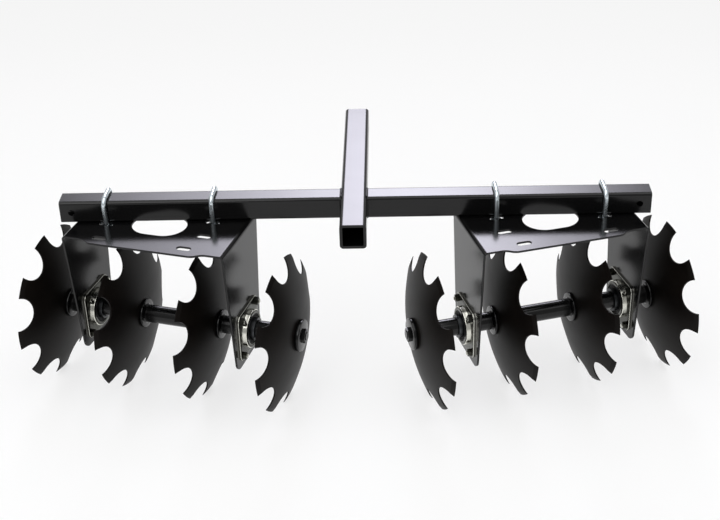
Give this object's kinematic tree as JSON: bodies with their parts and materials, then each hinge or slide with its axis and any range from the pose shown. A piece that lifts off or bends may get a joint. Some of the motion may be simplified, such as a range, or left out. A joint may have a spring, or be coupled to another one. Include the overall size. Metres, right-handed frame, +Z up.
{
  "type": "disc harrow",
  "caption": "Small towed disc harrow: two angled gangs of notched, dished discs turn in flange bearings on brackets clamped under a square toolbar with a central tongue.",
  "frame": {"origin": "middle of the outline seen from above, at floor level under the discs", "axes": "+X to the right of someone standing behind the harrow, +Y forwards along the tongue, +Z up"},
  "size_m": [1.509, 0.724, 0.4796],
  "materials": {
    "black_powder_coat": "satin black powder coat",
    "black_disc_paint": "semi-matt black paint",
    "zinc_plated_steel": "bright zinc plate",
    "bearing_seal": "black nitrile seal",
    "bearing_steel": "ground and oiled steel"
  },
  "bodies": {
    "frame": {"bearing_bolts_left": "zinc_plated_steel", "bearing_bolts_right": "zinc_plated_steel", "bearing_housing_left_inner": "zinc_plated_steel", "bearing_housing_left_outer": "zinc_plated_steel", "bearing_housing_right_inner": "zinc_plated_steel", "bearing_housing_right_outer": "zinc_plated_steel", "bearing_insert_left_inner": "bearing_seal", "bearing_insert_left_outer": "bearing_seal", "bearing_insert_right_inner": "bearing_seal", "bearing_insert_right_outer": "bearing_seal", "bearing_nuts_left": "zinc_plated_steel", "bearing_nuts_right": "zinc_plated_steel", "bracket_left": "black_powder_coat", "bracket_right": "black_powder_coat", "tongue": "black_powder_coat", "toolbar_left": "black_powder_coat", "toolbar_right": "black_powder_coat", "u_bolt_left_inner": "zinc_plated_steel", "u_bolt_left_outer": "zinc_plated_steel", "u_bolt_nuts_left": "zinc_plated_steel", "u_bolt_nuts_right": "zinc_plated_steel", "u_bolt_right_inner": "zinc_plated_steel", "u_bolt_right_outer": "zinc_plated_steel"},
    "gang_left": {"axle_left": "black_powder_coat", "axle_nuts_left": "black_powder_coat", "bearing_races_left": "bearing_steel", "disc_left_1": "black_disc_paint", "disc_left_2": "black_disc_paint", "disc_left_3": "black_disc_paint", "disc_left_4": "black_disc_paint", "end_washers_left": "black_powder_coat", "spools_left": "black_powder_coat"},
    "gang_right": {"axle_nuts_right": "black_powder_coat", "axle_right": "black_powder_coat", "bearing_races_right": "bearing_steel", "disc_right_1": "black_disc_paint", "disc_right_2": "black_disc_paint", "disc_right_3": "black_disc_paint", "disc_right_4": "black_disc_paint", "end_washers_right": "black_powder_coat", "spools_right": "black_powder_coat"}
  },
  "joints": [
    {"name": "gang_left_spin", "type": "hinge", "parent": "frame", "child": "gang_left", "pos_m": [-0.39924, -0.12464, 0.1778], "axis": [-0.962, 0.2731, 0], "continuous": true},
    {"name": "gang_right_spin", "type": "hinge", "parent": "frame", "child": "gang_right", "pos_m": [0.39924, -0.12464, 0.1778], "axis": [0.962, 0.2731, 0], "continuous": true}
  ]
}
